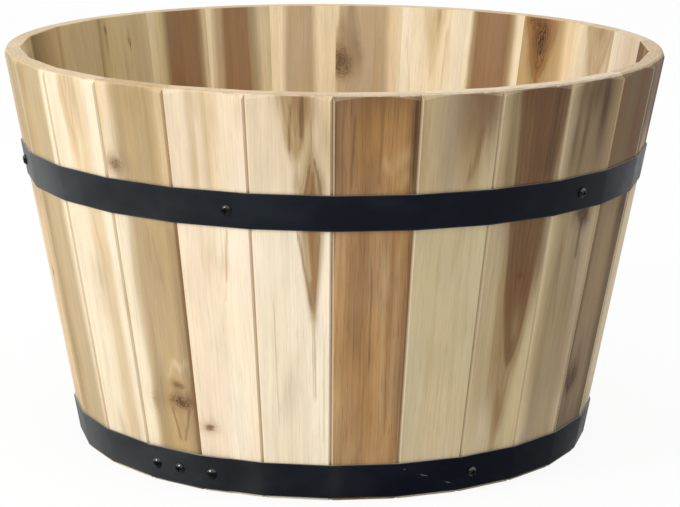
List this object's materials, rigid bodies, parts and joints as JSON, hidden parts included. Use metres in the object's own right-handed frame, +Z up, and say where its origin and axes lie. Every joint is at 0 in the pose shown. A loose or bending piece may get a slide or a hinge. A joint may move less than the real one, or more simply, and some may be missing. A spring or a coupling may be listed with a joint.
{
  "type": "wooden barrel planter",
  "caption": "Half-barrel planter of flared, mitred hardwood staves round a slatted floor, held by two riveted black steel hoops.",
  "frame": {"origin": "centre of the foot ring, on the ground plane that the planter stands on", "axes": "+Z up along the barrel's centre line, out of its mouth; -Y towards the front, where a joint between two staves lies; +X to the right of the front"},
  "size_m": [0.5564, 0.5588, 0.336],
  "materials": {
    "stave_wood": "smooth planed acacia, clear oiled, from cream sapwood to brown heartwood",
    "floor_wood": "planed acacia boards",
    "batten_wood": "sawn acacia strip",
    "hoop_steel": "satin black powder coat",
    "rivet_steel": "satin black",
    "screw_steel": "black zinc, slightly glossy"
  },
  "bodies": {
    "root": {"stave_1": "stave_wood", "stave_2": "stave_wood", "stave_3": "stave_wood", "stave_4": "stave_wood", "stave_5": "stave_wood", "stave_6": "stave_wood", "stave_7": "stave_wood", "stave_8": "stave_wood", "stave_9": "stave_wood", "stave_10": "stave_wood", "stave_11": "stave_wood", "stave_12": "stave_wood", "stave_13": "stave_wood", "stave_14": "stave_wood", "stave_15": "stave_wood", "stave_16": "stave_wood", "stave_17": "stave_wood", "stave_18": "stave_wood", "stave_19": "stave_wood", "stave_20": "stave_wood", "stave_21": "stave_wood", "stave_22": "stave_wood", "stave_23": "stave_wood", "stave_24": "stave_wood", "stave_25": "stave_wood", "stave_26": "stave_wood", "floor_board_1": "floor_wood", "floor_board_2": "floor_wood", "floor_board_3": "floor_wood", "floor_board_4": "floor_wood", "floor_board_5": "floor_wood", "floor_board_6": "floor_wood", "batten_front": "batten_wood", "batten_rear": "batten_wood", "upper_hoop": "hoop_steel", "lower_hoop": "hoop_steel", "upper_hoop_rivets": "rivet_steel", "lower_hoop_rivets": "rivet_steel", "upper_hoop_screws": "screw_steel", "lower_hoop_screws": "screw_steel", "batten_screws": "screw_steel"}
  },
  "joints": []
}
